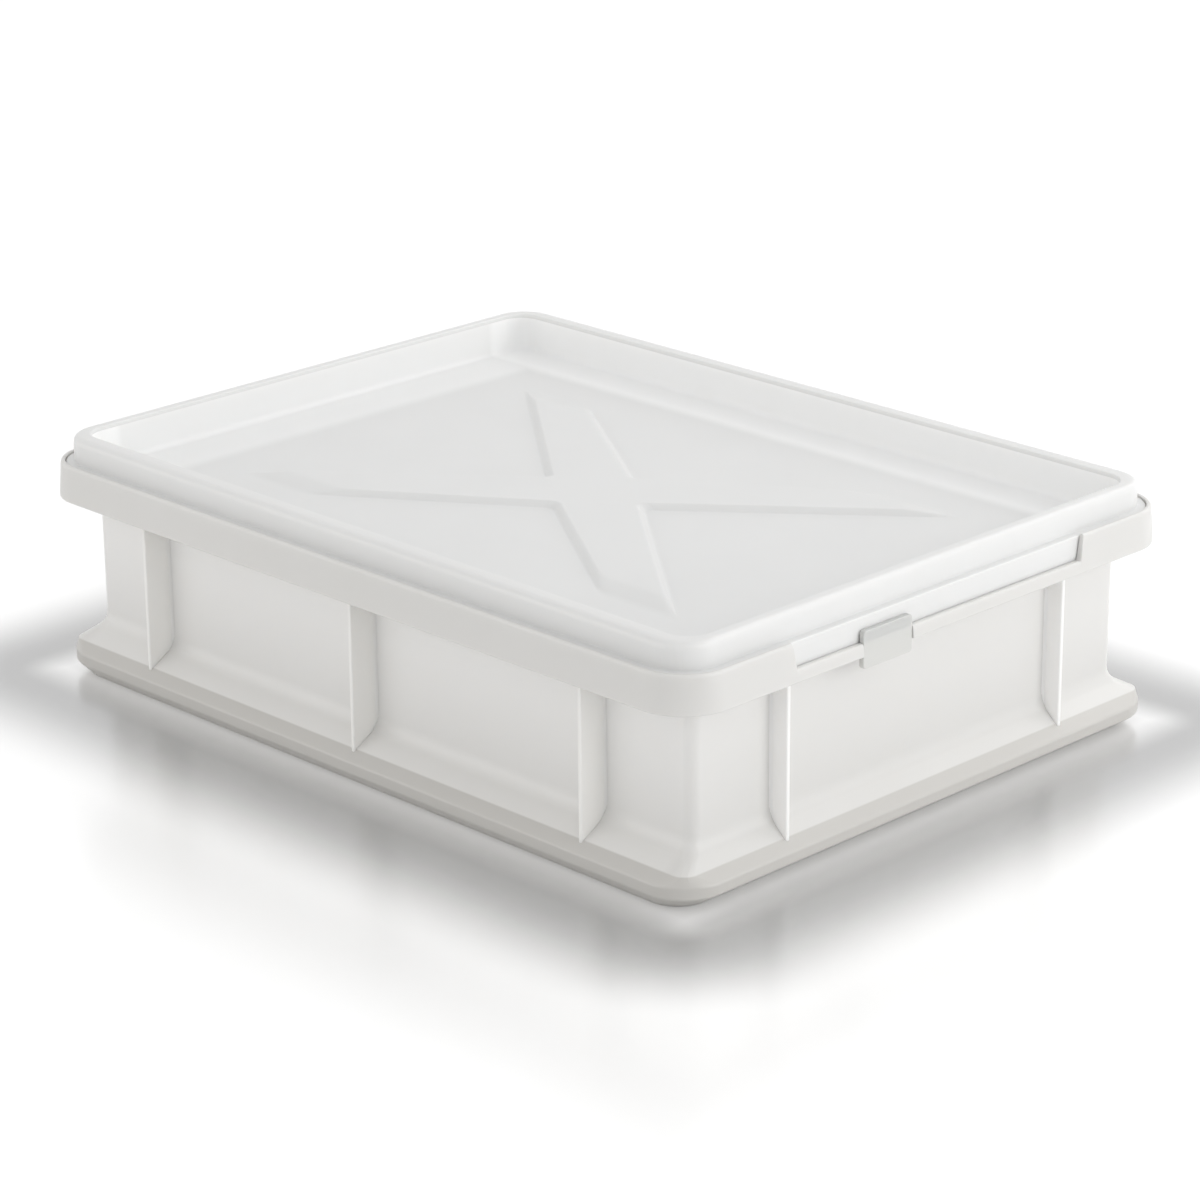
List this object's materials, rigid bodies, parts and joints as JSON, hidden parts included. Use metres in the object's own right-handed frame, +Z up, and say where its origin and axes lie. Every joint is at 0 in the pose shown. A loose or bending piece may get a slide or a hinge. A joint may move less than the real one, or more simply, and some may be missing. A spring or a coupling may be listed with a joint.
{
  "type": "dough proofing container",
  "caption": "Rectangular dough proofing container with ribbed walls, a stepped-out collar and a flared stacking base, under a drop-in lid with a raised cross in its tray.",
  "frame": {"origin": "centre of the footprint, on the surface that the container stands on", "axes": "+X along the long side, +Y along the short side, +Z up"},
  "size_m": [0.4, 0.3, 0.1108],
  "materials": {
    "container_plastic": "satin",
    "lid_plastic": "satin"
  },
  "bodies": {
    "container": {"container": "container_plastic"},
    "lid": {"lid": "lid_plastic"}
  },
  "joints": [
    {"name": "lid_lift", "type": "slide", "parent": "container", "child": "lid", "axis": [0, 0, 1], "range_m": [0, 0.12]}
  ]
}
